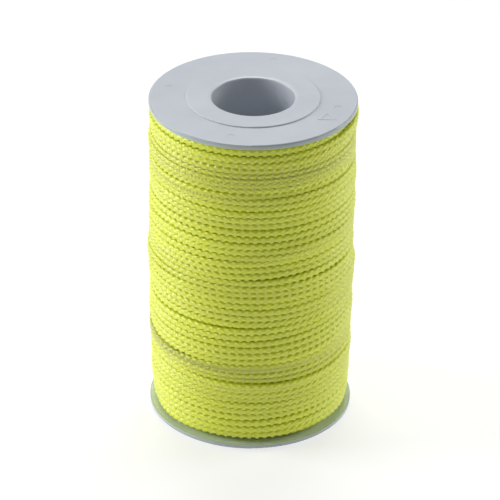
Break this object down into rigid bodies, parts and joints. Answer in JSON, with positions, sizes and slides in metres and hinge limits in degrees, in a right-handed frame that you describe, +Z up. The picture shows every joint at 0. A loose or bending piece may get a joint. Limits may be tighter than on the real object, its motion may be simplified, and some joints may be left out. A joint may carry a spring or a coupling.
{
  "type": "line spool",
  "caption": "Plastic spool with two thin round flanges pressed into a winding tube, full of bright yellow-green braided line.",
  "frame": {"origin": "centre of the lower flange's outer face, which the spool stands on", "axes": "+Z up along the bore axis, through both flanges; +X and +Y across, with -Y towards the viewer"},
  "size_m": [0.05, 0.05, 0.084],
  "materials": {
    "flange_plastic": "satin moulded polypropylene, slightly milky",
    "tube_plastic": "satin moulded polypropylene",
    "line": "fluorescent yellow-green braided line with a soft sheen"
  },
  "bodies": {
    "root": {"lower_flange": "flange_plastic", "upper_flange": "flange_plastic", "core_tube": "tube_plastic", "line_winding": "line"}
  },
  "joints": []
}
